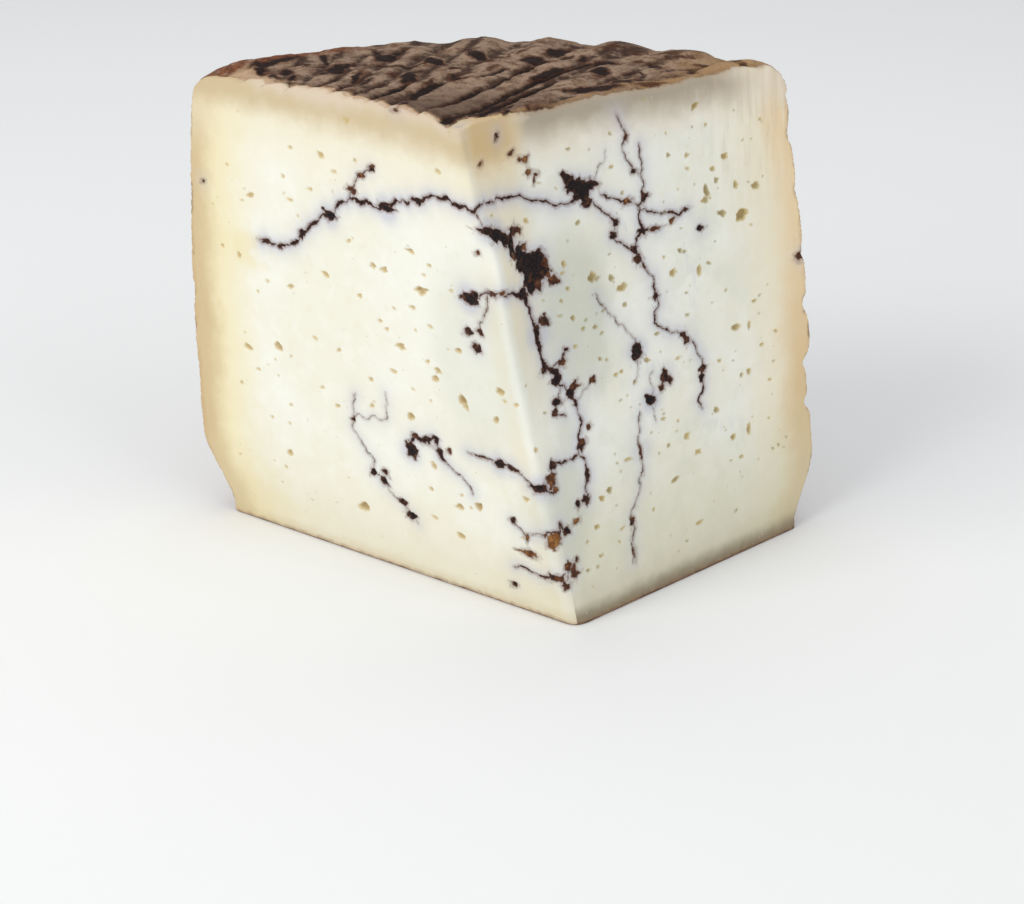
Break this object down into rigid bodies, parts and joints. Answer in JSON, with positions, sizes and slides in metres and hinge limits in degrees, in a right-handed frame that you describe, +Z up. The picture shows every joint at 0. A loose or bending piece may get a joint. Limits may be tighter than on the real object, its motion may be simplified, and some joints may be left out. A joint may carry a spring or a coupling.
{
  "type": "truffle pecorino wedge",
  "caption": "Upright wedge cut from a tall wheel of hard sheep's-milk cheese, with dark truffle veins in its two cut faces, a basket-marked brown rind on top and a curved rind back.",
  "frame": {"origin": "under the middle of the wedge's box, on the plane it stands on", "axes": "+Z up; the front edge where the two cut faces meet points to -Y, the curved rind to +Y, and +X is to the right seen from the front edge"},
  "size_m": [0.1846, 0.1234, 0.1412],
  "materials": {
    "cheese": "waxy cream paste with black-brown truffle veins, tan under the rind, rind taupe to near-black brown"
  },
  "bodies": {
    "root": {"pecorino_wedge": "cheese"}
  },
  "joints": []
}
